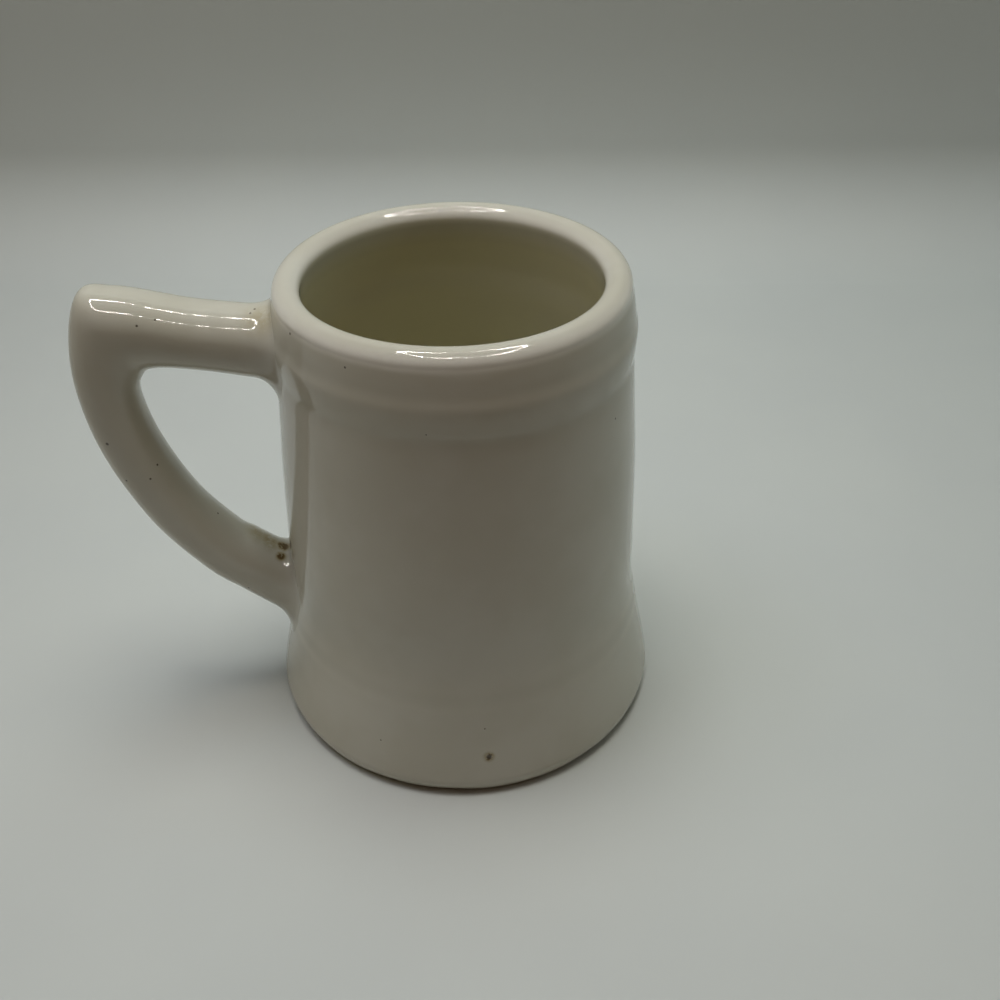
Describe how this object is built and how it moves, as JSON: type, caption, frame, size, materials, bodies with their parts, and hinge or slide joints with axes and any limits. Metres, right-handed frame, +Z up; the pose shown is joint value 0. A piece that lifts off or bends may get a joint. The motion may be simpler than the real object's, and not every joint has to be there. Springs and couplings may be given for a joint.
{
  "type": "shaving mug",
  "caption": "Tapered ceramic shaving mug with a rolled lip, low raised bands, a flared base and a separately cast square-shouldered loop handle.",
  "frame": {"origin": "on the mug's axis, in the plane of the foot ring", "axes": "+Z up along the mug's axis; the handle points along -X; Y is the width of the base"},
  "size_m": [0.115, 0.085, 0.1007],
  "materials": {
    "biscuit": "unglazed fired earthenware, matt",
    "slip": "fired slip, matt",
    "glaze": "glossy cream glaze"
  },
  "bodies": {
    "root": {"vessel": "biscuit", "handle": "biscuit", "upper_slip_joint": "slip", "lower_slip_joint": "slip", "body_glaze": "glaze", "handle_glaze": "glaze", "base_glaze": "glaze"}
  },
  "joints": []
}
